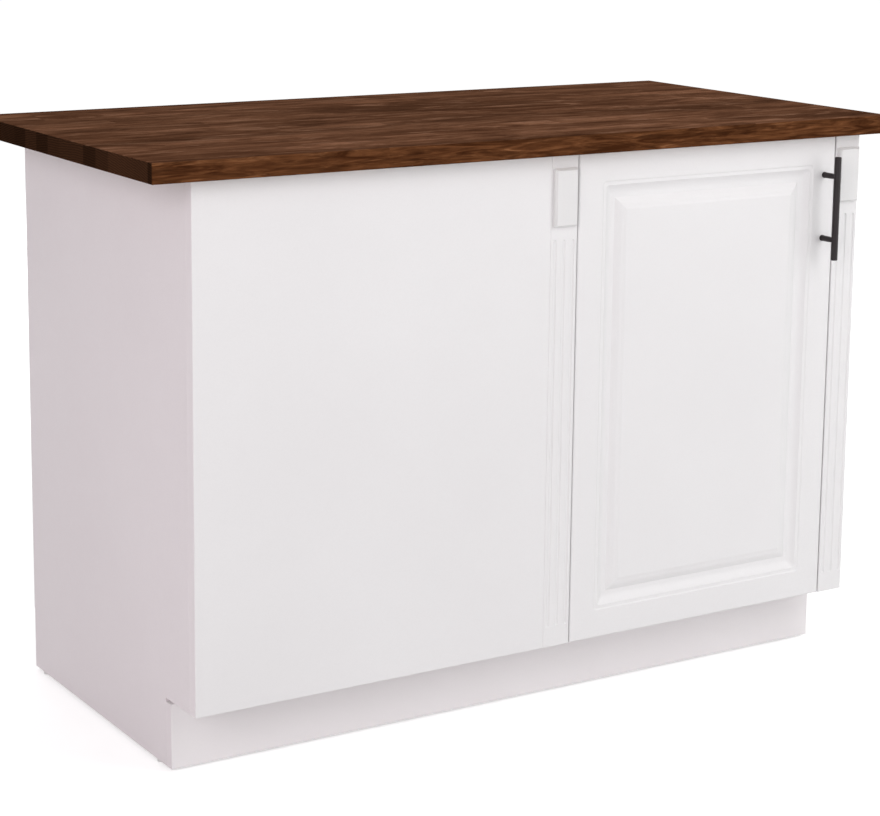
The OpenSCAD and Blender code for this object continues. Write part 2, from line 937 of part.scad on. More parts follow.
module door_bumpers() {
    color(plastic) for (z = [fronts_bottom + bumper_end, fronts_top - bumper_end])
        translate([door_right - bumper_inset, door_t + bumper_t, z]) rotate([90, 0, 0])
            cylinder(h = bumper_t, d = bumper_d);
}

place() {
    worktop();
    left_side_panel();
    right_side_panel();
    bottom_panel();
    back_panel();
    front_rail();
    rear_rail();
    hinge_stile();
    left_strip();
    middle_strip();
    right_strip();
    blind_front();
    middle_pilaster();
    middle_block();
    right_pilaster();
    right_block();
    door();
    shelf();
    shelf_pins();
    plinth_board();
    plinth_brackets();
    plinth_screws();
    floor_glides();
    dowels();
    cam_bolts();
    cam_locks();
    post_screws();
    front_screws();
    worktop_screws();
    back_screws();
    upper_hinge_plate();
    lower_hinge_plate();
    upper_hinge_arm();
    lower_hinge_arm();
    upper_hinge_cup();
    lower_hinge_cup();
    hinge_pins();
    hinge_plate_screws();
    hinge_arm_screws();
    hinge_cup_screws();
    handle_bar();
    handle_posts();
    handle_screws();
    door_bumpers();
}
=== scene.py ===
"""White kitchen island with a dark wooden worktop: finishes, finer meshes and a studio.

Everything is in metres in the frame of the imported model: x along the front, y to the back, z up.
"""
import json
import math

import bmesh
import bpy
from mathutils import Matrix, Vector


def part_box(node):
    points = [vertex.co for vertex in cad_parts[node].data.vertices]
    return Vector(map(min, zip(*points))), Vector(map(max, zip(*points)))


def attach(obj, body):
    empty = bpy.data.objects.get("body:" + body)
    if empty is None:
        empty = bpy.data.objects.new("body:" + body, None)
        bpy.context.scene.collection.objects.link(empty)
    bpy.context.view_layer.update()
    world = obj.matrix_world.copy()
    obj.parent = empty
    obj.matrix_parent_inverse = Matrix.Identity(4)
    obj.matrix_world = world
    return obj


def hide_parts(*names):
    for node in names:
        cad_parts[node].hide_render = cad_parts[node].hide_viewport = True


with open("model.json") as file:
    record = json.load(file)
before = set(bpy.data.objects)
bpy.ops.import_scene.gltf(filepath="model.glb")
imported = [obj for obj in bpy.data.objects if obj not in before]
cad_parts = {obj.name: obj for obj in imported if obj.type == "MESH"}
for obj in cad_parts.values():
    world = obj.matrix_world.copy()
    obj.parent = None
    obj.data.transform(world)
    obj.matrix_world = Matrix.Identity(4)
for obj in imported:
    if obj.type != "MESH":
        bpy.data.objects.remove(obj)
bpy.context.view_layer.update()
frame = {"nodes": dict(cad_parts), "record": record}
nodes = frame["nodes"]
slot_of = {part["node"]: part["material_slot"] for part in frame["record"]["subparts"]}
MM = 0.001
# Where a vector holds its x and its y
X, Y = 0, 1

# ---- the camera, as fitted to the edges in the photograph ----

FRAME_W, FRAME_H = 880, 816
FOCAL_PX = 2333.0
CENTRE_Y_PX = 285.0
CAMERA_AT = Vector((-1.826, -2.9166, 1.2289))
YAW, PITCH, ROLL = math.radians(32.023), math.radians(10.480), math.radians(0.635)
SENSOR_MM = 36.0
CLIP_NEAR, CLIP_FAR = 0.05, 100


def make_camera():
    """Camera at its fitted place and turn, its picture shifted so that its axis meets the fitted row."""
    data = bpy.data.cameras.new("camera")
    data.sensor_width = SENSOR_MM
    data.lens = FOCAL_PX * SENSOR_MM / FRAME_W
    data.shift_y = (CENTRE_Y_PX - FRAME_H / 2) / FRAME_W
    data.clip_start, data.clip_end = CLIP_NEAR, CLIP_FAR
    cam = bpy.data.objects.new("camera", data)
    bpy.context.scene.collection.objects.link(cam)
    level = math.cos(PITCH)
    forward = Vector((math.sin(YAW) * level, math.cos(YAW) * level, -math.sin(PITCH)))
    right = Vector((math.cos(YAW), -math.sin(YAW), 0))
    down = forward.cross(right)
    c, s = math.cos(ROLL), math.sin(ROLL)
    right, down = c * right - s * down, s * right + c * down
    turn = Matrix((right, -down, -forward)).transposed().to_4x4()
    cam.matrix_world = Matrix.Translation(CAMERA_AT) @ turn
    bpy.context.scene.camera = cam


# ---- node graphs ----

# Nearly all of a noise's values lie between these two
NOISE_LOW, NOISE_HIGH = 0.3, 0.7
# A face looks fully along an axis from this share of its normal on
FACING = 0.8


class Graph:
    """A material's nodes, with short calls for the ones used here."""

    def __init__(self, name):
        self.material = bpy.data.materials.new(name)
        self.material.use_nodes = True
        self.tree = self.material.node_tree
        self.shader = self.tree.nodes["Principled BSDF"]
        coord = self.tree.nodes.new("ShaderNodeTexCoord")
        self.place = coord.outputs["Object"]
        self.normal = coord.outputs["Normal"]

    def node(self, kind, **settings):
        """A new node of a kind, with its settings."""
        made = self.tree.nodes.new("ShaderNode" + kind)
        for key, value in settings.items():
            setattr(made, key, value)
        return made

    def put(self, value, socket):
        """Links an output to socket, or sets the socket where value is a plain number or colour."""
        if isinstance(value, bpy.types.NodeSocket):
            self.tree.links.new(value, socket)
        else:
            socket.default_value = value

    def mapped(self, scale, vector=None):
        """Object coordinates, or vector, times scale in features per metre."""
        made = self.node("Mapping")
        self.put(vector or self.place, made.inputs["Vector"])
        made.inputs["Scale"].default_value = scale
        return made.outputs["Vector"]

    def noise(self, scale, detail=2.0, rough=0.5, distortion=0.0, vector=None):
        """Noise with scale features per metre, which is one number or one for each axis."""
        scale = scale if isinstance(scale, tuple) else (scale, scale, scale)
        made = self.node("TexNoise")
        self.put(self.mapped(scale, vector), made.inputs["Vector"])
        made.inputs["Scale"].default_value = 1.0
        made.inputs["Detail"].default_value = detail
        made.inputs["Roughness"].default_value = rough
        made.inputs["Distortion"].default_value = distortion
        return made.outputs["Fac"]

    def math(self, operation, a, b=0.0):
        """One number from a, or from a and b."""
        made = self.node("Math", operation=operation)
        self.put(a, made.inputs[0])
        self.put(b, made.inputs[1])
        return made.outputs[0]

    def spread(self, value, low, high, to_low=0.0, to_high=1.0):
        """value from low..high to to_low..to_high, held at the ends."""
        made = self.node("MapRange")
        for given, socket in zip((value, low, high, to_low, to_high), made.inputs):
            self.put(given, socket)
        return made.outputs[0]

    def cloud(self, value, to_low=0.0, to_high=1.0):
        """A noise, from the range that it nearly always keeps to, to to_low..to_high."""
        return self.spread(value, NOISE_LOW, NOISE_HIGH, to_low, to_high)

    def mix(self, factor, a, b):
        """Colour a where factor is 0, and b where it is 1."""
        made = self.node("Mix", data_type="RGBA")
        colour_a, colour_b, colour_out = 6, 7, 2
        self.put(factor, made.inputs[0])
        self.put(a, made.inputs[colour_a])
        self.put(b, made.inputs[colour_b])
        return made.outputs[colour_out]

    def where_low(self, colour, value, start, end, share, over):
        """colour with a share of over where value is below start, fading out at end."""
        return self.mix(self.spread(value, start, end, share, 0.0), colour, over)

    def where_high(self, colour, value, start, end, share, over):
        """colour with a share of over where value is above end, fading in from start."""
        return self.mix(self.spread(value, start, end, 0.0, share), colour, over)

    def times(self, vector, factor):
        """A vector or colour times a number."""
        made = self.node("VectorMath", operation="SCALE")
        self.put(vector, made.inputs[0])
        self.put(factor, made.inputs["Scale"])
        return made.outputs[0]

    def plus(self, a, b):
        """The sum of two vectors."""
        made = self.node("VectorMath", operation="ADD")
        self.put(a, made.inputs[0])
        self.put(b, made.inputs[1])
        return made.outputs[0]

    def split(self, vector):
        """The x, y and z of a vector."""
        made = self.node("SeparateXYZ")
        self.put(vector, made.inputs[0])
        return made.outputs

    def facing(self, axis, start):
        """1 on faces that look along an axis, and 0 where less than start of their normal does."""
        along = self.math("ABSOLUTE", self.split(self.normal)[axis])
        return self.spread(along, start, FACING)

    def bump(self, height, distance, strength, under=None):
        """Normals of a relief that is distance deep, laid over the relief under where it is given."""
        made = self.node("Bump")
        made.inputs["Strength"].default_value = strength
        made.inputs["Distance"].default_value = distance
        self.put(height, made.inputs["Height"])
        if under is not None:
            self.put(under, made.inputs["Normal"])
        return made.outputs["Normal"]

    def finish(self, colour, rough, normal=None, **plain):
        """The material, with its colour, roughness, normals and plain values of the shader set."""
        self.put(colour, self.shader.inputs["Base Color"])
        self.put(rough, self.shader.inputs["Roughness"])
        if normal is not None:
            self.put(normal, self.shader.inputs["Normal"])
        for name, value in plain.items():
            self.shader.inputs[name.replace("_", " ")].default_value = value
        return self.material


def rgb(r, g, b):
    """An opaque colour, in linear shares of red, green and blue."""
    return (r, g, b, 1.0)


# ---- white finishes ----

# Features per metre of the cloudiness, of the flecks and of the uneven sheen
CLOUDS, FLECKS, SMEARS = 3, 420, 60
SMEAR_SPREAD = 0.05
PEEL_DEPTH = 0.05 * MM
# Features per metre of the slight relief, and roughness
MELAMINE_PEEL, MELAMINE_ROUGH = 900, 0.46
FOIL_PEEL, FOIL_ROUGH = 260, 0.40
# (low, high, fleck) whites
BOARD_WHITE = (rgb(0.785, 0.724, 0.746), rgb(0.815, 0.756, 0.778), rgb(0.74, 0.68, 0.70))
FRONT_WHITE = (rgb(0.788, 0.778, 0.782), rgb(0.814, 0.806, 0.810), rgb(0.75, 0.74, 0.745))
# painted shade: the blocks' white is a little darker than the fronts'
BLOCK_SHADED_WHITE = (rgb(0.738, 0.732, 0.731), rgb(0.764, 0.758, 0.757), rgb(0.71, 0.70, 0.70))
# painted light: the plinth's white is lighter than the boards', in place of the light that bounces onto
# it
PLINTH_LIT_WHITE = (rgb(0.828, 0.801, 0.807), rgb(0.858, 0.833, 0.839), rgb(0.79, 0.765, 0.77))
EDGING_WHITE = rgb(0.800, 0.740, 0.762)


def white_face(name, whites, peel, rough, ends=None):
    """Satin white: a faint cloudiness, fine flecks and a slight orange peel, and edging on the ends."""
    g = Graph(name)
    low, high, fleck = whites
    colour = g.mix(g.cloud(g.noise(CLOUDS, detail=4)), low, high)
    colour = g.where_high(colour, g.noise(FLECKS), 0.4, 0.8, share=0.25, over=fleck)
    if ends is not None:
        colour = g.mix(g.facing(X, 0.5), colour, ends)
    sheen = g.cloud(g.noise(SMEARS, detail=3), rough - SMEAR_SPREAD, rough + SMEAR_SPREAD)
    return g.finish(colour, sheen, g.bump(g.noise(peel, detail=3), PEEL_DEPTH, 0.5))


def hardboard():
    """White lacquer over hardboard, with the board's fibres showing faintly."""
    g = Graph("white_hardboard")
    fibre = g.noise(300, detail=5, rough=0.7, distortion=1.5)
    colour = g.mix(g.cloud(g.noise(5, detail=4)), rgb(0.75, 0.715, 0.72), rgb(0.79, 0.755, 0.76))
    colour = g.where_high(colour, fibre, 0.5, 0.75, share=0.35, over=rgb(0.68, 0.65, 0.64))
    return g.finish(colour, g.cloud(fibre, 0.45, 0.6), g.bump(fibre, 0.08 * MM, 0.5))


# ---- the worktop's wood ----

STAVE_W, STAVE_L = 0.040, 0.62
# Where the rows of staves lie between the worktop's long edges
STAVE_START = 1.0037
# Largest random shift of a row, in staves, and of a stave's grain and its end's rings, in metres
ROW_SHIFT = 9.0
GRAIN_SHIFT = 0.02
RING_SHIFT = 0.09
PORE_DEPTH, STREAK_DEPTH = 0.18 * MM, 0.3 * MM
# How dense, how wavy and how rough the rings of the end grain are
RING_SCALE, RING_WAVER, RING_DETAIL = 95.0, 3.0, 3.0
# The brightness of the darkest and the palest stave, on its faces and at its ends
FACE_TONES = 0.88, 1.20
END_TONES = 0.65, 1.45


def staves(g):
    """A random value and a random vector for each stave; the staves lie in rows along x."""
    x, y = g.split(g.place)[:2]
    row = g.math("FLOOR", g.math("DIVIDE", g.math("ADD", y, STAVE_START), STAVE_W))
    shift = g.node("TexWhiteNoise", noise_dimensions="1D")
    g.put(row, shift.inputs["W"])
    row_shift = g.math("MULTIPLY", shift.outputs["Value"], ROW_SHIFT)
    along = g.math("ADD", g.math("DIVIDE", x, STAVE_L), row_shift)
    key = g.node("CombineXYZ")
    g.put(row, key.inputs[0])
    g.put(g.math("FLOOR", along), key.inputs[1])
    stave = g.node("TexWhiteNoise", noise_dimensions="3D")
    g.put(key.outputs[0], stave.inputs["Vector"])
    return stave.outputs["Value"], stave.outputs["Color"]


def face_grain(g, place, streaks, pores):
    """Broad bands, then a darker and a paler figure, streaks and dark pores."""
    bands = g.noise((2.2, 12, 12), detail=4, rough=0.60, distortion=0.8, vector=place)
    figure = g.noise((7, 28, 60), detail=5, rough=0.60, distortion=1.2, vector=place)
    colour = g.mix(g.spread(bands, 0.36, 0.64), rgb(0.116, 0.049, 0.025), rgb(0.250, 0.114, 0.062))
    colour = g.where_low(colour, figure, 0.34, 0.50, share=0.75, over=rgb(0.072, 0.028, 0.014))
    colour = g.where_high(colour, figure, 0.54, 0.74, share=0.75, over=rgb(0.44, 0.23, 0.140))
    colour = g.where_low(colour, streaks, 0.36, 0.50, share=0.55, over=rgb(0.062, 0.024, 0.012))
    colour = g.where_high(colour, streaks, 0.60, 0.76, share=0.45, over=rgb(0.40, 0.210, 0.125))
    return g.where_low(colour, pores, 0.36, 0.48, share=0.45, over=rgb(0.030, 0.013, 0.007))


def edge_grain(g, streaks):
    """The long edges are a little redder, and their grain waves."""
    wave = g.noise((12, 60, 125), detail=4, rough=0.6, distortion=1.2)
    colour = g.mix(g.spread(wave, 0.36, 0.66), rgb(0.052, 0.017, 0.006), rgb(0.170, 0.066, 0.026))
    colour = g.where_high(colour, wave, 0.60, 0.76, share=0.7, over=rgb(0.34, 0.155, 0.070))
    return g.where_low(colour, streaks, 0.36, 0.52, share=0.55, over=rgb(0.028, 0.010, 0.004))


def end_grain(g, off):
    """Dark rings, shifted by off from stave to stave, with darker specks."""
    ring = g.node("TexWave", wave_type="RINGS", rings_direction="X")
    g.put(g.plus(g.place, g.times(off, RING_SHIFT)), ring.inputs["Vector"])
    ring.inputs["Scale"].default_value = RING_SCALE
    ring.inputs["Distortion"].default_value = RING_WAVER
    ring.inputs["Detail"].default_value = RING_DETAIL
    colour = g.mix(ring.outputs["Fac"], rgb(0.026, 0.011, 0.006), rgb(0.050, 0.022, 0.011))
    return g.where_low(colour, g.noise(900), 0.3, 0.5, share=0.6, over=rgb(0.012, 0.006, 0.003))


def walnut():
    """Dark staves, each of its own tone, under oil that doesn't mirror the lamps."""
    g = Graph("walnut_block")
    tone, off = staves(g)
    place = g.plus(g.place, g.times(off, GRAIN_SHIFT))
    streaks = g.noise((14, 120, 150), detail=5, rough=0.65, distortion=0.9, vector=place)
    pores = g.noise((60, 1100, 1100), detail=3, rough=0.6, vector=place)
    face = g.times(face_grain(g, place, streaks, pores), g.spread(tone, 0.0, 1.0, *FACE_TONES))
    end = g.times(end_grain(g, off), g.spread(tone, 0.0, 1.0, *END_TONES))
    colour = g.mix(g.facing(Y, 0.4), face, edge_grain(g, streaks))
    colour = g.mix(g.facing(X, 0.5), colour, end)
    relief = g.bump(streaks, STREAK_DEPTH, 0.4, g.bump(pores, PORE_DEPTH, 0.6))
    return g.finish(colour, g.cloud(streaks, 0.80, 0.66), relief, Specular_IOR_Level=0.0)


# ---- other finishes ----

# How far the grain makes a roughness vary, and how deep the grain is
GRAIN_SPREAD = 0.06
METAL_DEPTH, PLASTIC_DEPTH, POWDER_DEPTH, BEECH_DEPTH = 0.03 * MM, 0.03 * MM, 0.05 * MM, 0.1 * MM


def black_powder():
    """Matt black powder coat with a fine tooth."""
    g = Graph("black_powder_coat")
    grain = g.noise(1500)
    tint = g.cloud(g.noise(40, detail=3))
    colour = g.mix(tint, rgb(0.012, 0.008, 0.009), rgb(0.020, 0.015, 0.016))
    rough = g.cloud(grain, 0.42, 0.56)
    return g.finish(colour, rough, g.bump(grain, POWDER_DEPTH, 0.5), Specular_IOR_Level=0.30)


def metal(name, dark, pale, rough, brush):
    """Bare or plated metal with a fine grain."""
    g = Graph(name)
    grain = g.noise(brush, detail=4)
    colour = g.mix(g.cloud(g.noise(90, detail=3)), dark, pale)
    sheen = g.cloud(grain, rough - GRAIN_SPREAD, rough + GRAIN_SPREAD)
    return g.finish(colour, sheen, g.bump(grain, METAL_DEPTH, 0.4), Metallic=1.0)


def plastic(name, dark, pale, rough):
    """Moulded plastic with a fine tooth."""
    g = Graph(name)
    grain = g.noise(1400)
    colour = g.mix(g.cloud(g.noise(120, detail=3)), dark, pale)
    sheen = g.cloud(grain, rough - GRAIN_SPREAD, rough + GRAIN_SPREAD)
    return g.finish(colour, sheen, g.bump(grain, PLASTIC_DEPTH, 0.5))


def raw_beech():
    """Pale wood with short dark flecks along its grain."""
    g = Graph("raw_beech")
    grain = g.noise((30, 500, 500), detail=4)
    colour = g.mix(g.cloud(grain), rgb(0.50, 0.33, 0.18), rgb(0.66, 0.48, 0.29))
    flecks = g.noise((200, 1500, 1500))
    colour = g.where_high(colour, flecks, 0.62, 0.75, share=0.5, over=rgb(0.33, 0.19, 0.10))
    return g.finish(colour, g.cloud(grain, 0.55, 0.7), g.bump(grain, BEECH_DEPTH, 0.4))


# One finish per slot
finishes = {
    "walnut_worktop": walnut(),
    "white_board": white_face("white_melamine", BOARD_WHITE, MELAMINE_PEEL, MELAMINE_ROUGH),
    "white_front": white_face("white_foil", FRONT_WHITE, FOIL_PEEL, FOIL_ROUGH),
    "white_hardboard": hardboard(),
    "beech_dowel": raw_beech(),
    "white_nylon": plastic("white_nylon", rgb(0.70, 0.70, 0.69), rgb(0.78, 0.78, 0.77), 0.5),
    "soft_bumper": plastic("soft_bumper", rgb(0.62, 0.62, 0.61), rgb(0.72, 0.72, 0.71), 0.3),
    "black_handle": black_powder(),
    "zinc_cam": metal("cast_zinc", rgb(0.42, 0.43, 0.45), rgb(0.52, 0.53, 0.55), 0.48, 300),
    "plated_steel": metal("zinc_plate", rgb(0.55, 0.56, 0.58), rgb(0.68, 0.69, 0.71), 0.3,
                          (40, 40, 900)),
}

# Nodes whose white differs a little from their slot's: lighter on the plinth as painted light, darker on
# the blocks as painted shade, and with the boards' edging on the ends of the plinth and of the blind
# front
block_painted_shade_foil = white_face("block_painted_shade_foil", BLOCK_SHADED_WHITE, FOIL_PEEL, FOIL_ROUGH)
own_white = {
    "plinth_board": white_face("plinth_painted_light_foil", PLINTH_LIT_WHITE, MELAMINE_PEEL, MELAMINE_ROUGH,
                               EDGING_WHITE),
    "blind_front": white_face("edged_foil", FRONT_WHITE, FOIL_PEEL, FOIL_ROUGH, EDGING_WHITE),
    "middle_block": block_painted_shade_foil,
    "right_block": block_painted_shade_foil,
}


def finish_of(node):
    """The material of a node: its own white, or else its slot's finish."""
    return own_white.get(node, finishes[slot_of[node]])


def dress_nodes():
    """Gives every node its finish."""
    for node in slot_of:
        mesh = nodes[node].data
        mesh.materials.clear()
        mesh.materials.append(finish_of(node))


# ---- meshes of the scene's own ----

def link(name, data):
    """A new object that holds data, in the scene."""
    made = bpy.data.objects.new(name, data)
    bpy.context.scene.collection.objects.link(made)
    return made


def add_piece(name, mesh, body, node, smooth_angle=30.0):
    """Puts a mesh in the scene in place of a node, with the node's finish."""
    mesh.materials.clear()
    mesh.materials.append(finish_of(node))
    mesh.polygons.foreach_set("use_smooth", [True] * len(mesh.polygons))
    mesh.set_sharp_from_angle(angle=math.radians(smooth_angle))
    piece = link(name, mesh)
    weighted = piece.modifiers.new("weighted_normals", "WEIGHTED_NORMAL")
    weighted.keep_sharp = True
    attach(piece, body)
    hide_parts(node)


def shares(steps):
    """From 0 to 1 in equal steps."""
    return [i / steps for i in range(steps + 1)]


def ease(s):
    """From 0 to 1 as s does, level at both ends."""
    return (1 - math.cos(math.pi * s)) / 2


def loft(mesh_name, rings):
    """Closed mesh through rings of equal length, with a flat face on the first and the last."""
    bm = bmesh.new()
    rows = [[bm.verts.new(p) for p in ring] for ring in rings]
    for a, b in zip(rows, rows[1:]):
        for i in range(len(a)):
            j = (i + 1) % len(a)
            bm.faces.new((a[i], a[j], b[j], b[i]))
    bm.faces.new(rows[0])
    bm.faces.new(reversed(rows[-1]))
    bmesh.ops.recalc_face_normals(bm, faces=bm.faces)
    mesh = bpy.data.meshes.new(mesh_name)
    bm.to_mesh(mesh)
    bm.free()
    return mesh


def lathe(name, profile, place, steps=48):
    """Solid of revolution from (distance along the axis, radius) rows; place turns and puts it."""
    rings = []
    for along, radius in profile:
        ring = []
        for i in range(steps):
            a = 2 * math.pi * i / steps
            ring.append(place @ Vector((radius * math.cos(a), radius * math.sin(a), along)))
        rings.append(ring)
    return loft(name, rings)


def outwards(x, y, z):
    """Puts a lathe's start at a point, its axis towards the front."""
    return Matrix.Translation((x, y, z)) @ Matrix.Rotation(math.pi / 2, 4, "X")


def inwards(x, y, z):
    """Puts a lathe's start at a point, its axis towards the back."""
    return Matrix.Translation((x, y, z)) @ Matrix.Rotation(-math.pi / 2, 4, "X")


def joined(name, meshes):
    """One mesh that holds all the given ones, which are used up."""
    bm = bmesh.new()
    for one in meshes:
        bm.from_mesh(one)
        bpy.data.meshes.remove(one)
    mesh = bpy.data.meshes.new(name)
    bm.to_mesh(mesh)
    bm.free()
    return mesh


def cut(mesh, cutter):
    """The mesh less the cutter's; both are used up."""
    whole, helper = link("whole", mesh), link("cutter", cutter)
    modifier = whole.modifiers.new("cut", "BOOLEAN")
    modifier.operation = "DIFFERENCE"
    modifier.solver = "EXACT"
    modifier.object = helper
    bpy.context.view_layer.update()
    result = bpy.data.meshes.new_from_object(
        whole.evaluated_get(bpy.context.evaluated_depsgraph_get()))
    for used in (whole, helper):
        old = used.data
        bpy.data.objects.remove(used)
        bpy.data.meshes.remove(old)
    return result


# ---- door ----

# The moulding in millimetres, as in the CAD source, from the door's edge to the field
EDGE_R = 2.5
STILE = 41.0
STEP_W, STEP_SOFT, STEP_D = 7.0, 3.0, 1.2
COVE_W, GROOVE_D, FLOOR_W = 14.0, 7.0, 5.0
SLOPE_W, SLOPE_BOW = 12.0, 1.5
LIP_W, LIP_D, FIELD_D = 6.5, 1.8, 0.5
# The rings' corner radii, and how far a ring stands from an edge that it keeps crisp
SHARP_R, FRAME_R, COVE_R, COVE_FOOT_R = 1.0, 5.0, 4.5, 1.5
HOLD = 1.0
CORNER_STEPS = 6
BACK_C = 0.5
CUP_BORE_R, CUP_DEPTH, CUP_IN = 17.5, 12.5, 21.5
BORE_STEPS = 64


def door_profile():
    """(inset, depth, corner radius) of the door's face from its edge to the raised field."""
    rows = []
    for s in shares(6):
        a = math.pi / 2 * s
        rows.append((EDGE_R * (1 - math.cos(a)), EDGE_R * (1 - math.sin(a)), SHARP_R))
    rows += [(EDGE_R + HOLD, 0, SHARP_R), (STILE - HOLD, 0, FRAME_R)]
    for s in shares(6):
        rows.append((STILE + STEP_SOFT * s, STEP_D * ease(s), FRAME_R))
    cove = STILE + STEP_W
    for s in shares(12):
        depth = STEP_D + (GROOVE_D - STEP_D) * (1 - (1 - s) ** 2)
        rows.append((cove + COVE_W * s, depth, COVE_R + (COVE_FOOT_R - COVE_R) * s))
    slope = cove + COVE_W + FLOOR_W
    for s in shares(9):
        rows.append((slope + SLOPE_W * s, LIP_D + (GROOVE_D - LIP_D) * (1 - s) ** SLOPE_BOW, SHARP_R))
    lip = slope + SLOPE_W
    for s in shares(8)[1:]:
        rows.append((lip + LIP_W * s, LIP_D + (FIELD_D - LIP_D) * ease(s), SHARP_R))
    rows.append((lip + LIP_W + HOLD, FIELD_D, SHARP_R))
    return rows


def rounded_ring(low, high, inset, y, radius):
    """Points of a rectangle in the xz plane at depth y, inset all round, its corners rounded."""
    x0, x1 = low.x + inset + radius, high.x - inset - radius
    z0, z1 = low.z + inset + radius, high.z - inset - radius
    points = []
    for x, z, start in ((x1, z1, 0), (x0, z1, 90), (x0, z0, 180), (x1, z0, 270)):
        for s in shares(CORNER_STEPS):
            a = math.radians(start + 90 * s)
            points.append((x + radius * math.cos(a), y, z + radius * math.sin(a)))
    return points


def make_door():
    """The leaf with its smooth moulding, and the bores for the hinge cups at its back."""
    low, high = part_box("door")
    thick = (high.y - low.y) / MM
    profile = [(BACK_C, thick, SHARP_R), (0, thick - BACK_C, SHARP_R)] + door_profile()
    leaf = loft("door_leaf", [rounded_ring(low, high, inset * MM, low.y + depth * MM, r * MM)
                              for inset, depth, r in profile])
    # each bore starts a millimetre behind the leaf
    rows = [(0.0, CUP_BORE_R * MM), ((CUP_DEPTH + 1) * MM, CUP_BORE_R * MM)]
    bores = []
    for hinge in ("upper_hinge_cup", "lower_hinge_cup"):
        cup_low, cup_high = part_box(hinge)
        place = outwards(low.x + CUP_IN * MM, high.y + MM, (cup_low.z + cup_high.z) / 2)
        bores.append(lathe("bore", rows, place, BORE_STEPS))
    add_piece("door_leaf", cut(leaf, joined("bores", bores)), "door", "door", 25.0)


# ---- handle ----

BAR_BEVEL = 1.0 * MM
# A post from the door outwards, as (distance, radius) in millimetres: a collar, a fine groove,
# the shaft and a slimmer neck
POST_ROWS = ((0, 4.3), (0.2, 4.5), (2.8, 4.5), (3.1, 4.2), (3.3, 3.7), (3.9, 3.7), (4.2, 4.1),
             (4.5, 4.25), (17.0, 4.25), (19.0, 4.1), (21.0, 3.8), (26.0, 3.7))


def make_bar():
    """The handle's bar, with its two ends rounded over."""
    low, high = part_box("handle_bar")
    radius = (high.x - low.x) / 2
    start = []
    for s in reversed(shares(5)):
        a = math.pi / 2 * s
        start.append((BAR_BEVEL * (1 - math.sin(a)), radius - BAR_BEVEL * (1 - math.cos(a))))
    end = [(high.z - low.z - along, r) for along, r in reversed(start)]
    place = Matrix.Translation(((low.x + high.x) / 2, (low.y + high.y) / 2, low.z))
    add_piece("handle_rod", lathe("bar", start + end, place), "door", "handle_bar", 40.0)


def make_posts():
    """The handle's two posts, half a post's width inside the ends of their node's box."""
    low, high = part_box("handle_posts")
    x = (low.x + high.x) / 2
    reach = (high.x - low.x) / 2
    rows = [(along * MM, radius * MM) for along, radius in POST_ROWS]
    posts = [lathe("post", rows, outwards(x, high.y, z)) for z in (low.z + reach, high.z - reach)]
    add_piece("handle_pillars", joined("posts", posts), "door", "handle_posts", 40.0)


# ---- nodes once more, with their fine shape ----

WELD = 0.002 * MM
EASED = ("left_side_panel", "right_side_panel", "bottom_panel", "front_rail", "rear_rail", "hinge_stile",
         "left_strip", "middle_strip", "right_strip", "shelf", "plinth_board")
EASE = 0.4 * MM
EASE_SEGMENTS = 3
# Only edges longer than this and sharper than this are eased, so that bores keep theirs
LONG_EDGE = 12 * MM
SHARP_ANGLE = 35.0


def welded(node):
    """A node's mesh with the corners of its faces joined, so that each solid has one closed skin."""
    bm = bmesh.new()
    bm.from_mesh(nodes[node].data)
    bmesh.ops.remove_doubles(bm, verts=bm.verts, dist=WELD)
    bm.verts.index_update()
    corners = [vert.co.copy() for vert in bm.verts]
    faces = [[vert.index for vert in face.verts] for face in bm.faces]
    bm.free()
    mesh = bpy.data.meshes.new(node + "_skin")
    mesh.from_pydata(corners, [], faces)
    return mesh


def ease_boards():
    """The boards with their long edges eased, each in place of its CAD node."""
    for node in EASED:
        mesh = welded(node)
        bm = bmesh.new()
        bm.from_mesh(mesh)
        edges = [edge for edge in bm.edges if edge.calc_length() > LONG_EDGE
                 and edge.calc_face_angle(0.0) > math.radians(SHARP_ANGLE)]
        bmesh.ops.bevel(bm, geom=edges, affect="EDGES", offset_type="OFFSET", offset=EASE,
                        segments=EASE_SEGMENTS, profile=0.5, clamp_overlap=True)
        bm.to_mesh(mesh)
        bm.free()
        add_piece(node + "_board", mesh, "carcass", node, SHARP_ANGLE)


def solids_of(mesh):
    """The corners of each separate solid in a mesh, in the mesh's own order."""
    leader = list(range(len(mesh.vertices)))

    def first(i):
        while leader[i] != i:
            i = leader[i]
        return i

    for edge in mesh.edges:
        a, b = first(edge.vertices[0]), first(edge.vertices[1])
        leader[max(a, b)] = min(a, b)
    solids = {}
    for vertex in mesh.vertices:
        solids.setdefault(first(vertex.index), []).append(vertex.co.copy())
    return list(solids.values())


def box_of(corners):
    """Low and high corners of the box round some points."""
    low = Vector([min(corner[k] for corner in corners) for k in range(3)])
    high = Vector([max(corner[k] for corner in corners) for k in range(3)])
    return low, high


# A cross recess at its mouth and its foot, as shares of the screw head's diameter
MOUTH_HALF, MOUTH_BLADE = 0.29, 0.060
FOOT_HALF, FOOT_BLADE = 0.12, 0.045
RECESS_DEPTH = 0.27
# How far its cutter goes on past the head's face, as a share of the depth
RECESS_PAST = 0.1
# A corner of a screw is on its head's rim beyond this share of the head's diameter from the axis
RIM = 0.45
CROSS_SCREWS = {
    "carcass": ("back_screws", "front_screws", "post_screws", "worktop_screws", "plinth_screws",
                "hinge_plate_screws", "hinge_arm_screws"),
    "door": ("hinge_cup_screws", "handle_screws"),
}


def cross_ring(centre, u, v, half, blade):
    """Twelve corners of a plus sign in the plane of u and v, its arms half long and 2 blades wide."""
    ring = []
    for a, b in ((u, v), (v, -u), (-u, -v), (-v, u)):
        ring += [centre + a * half - b * blade, centre + a * half + b * blade, centre + (a + b) * blade]
    return ring


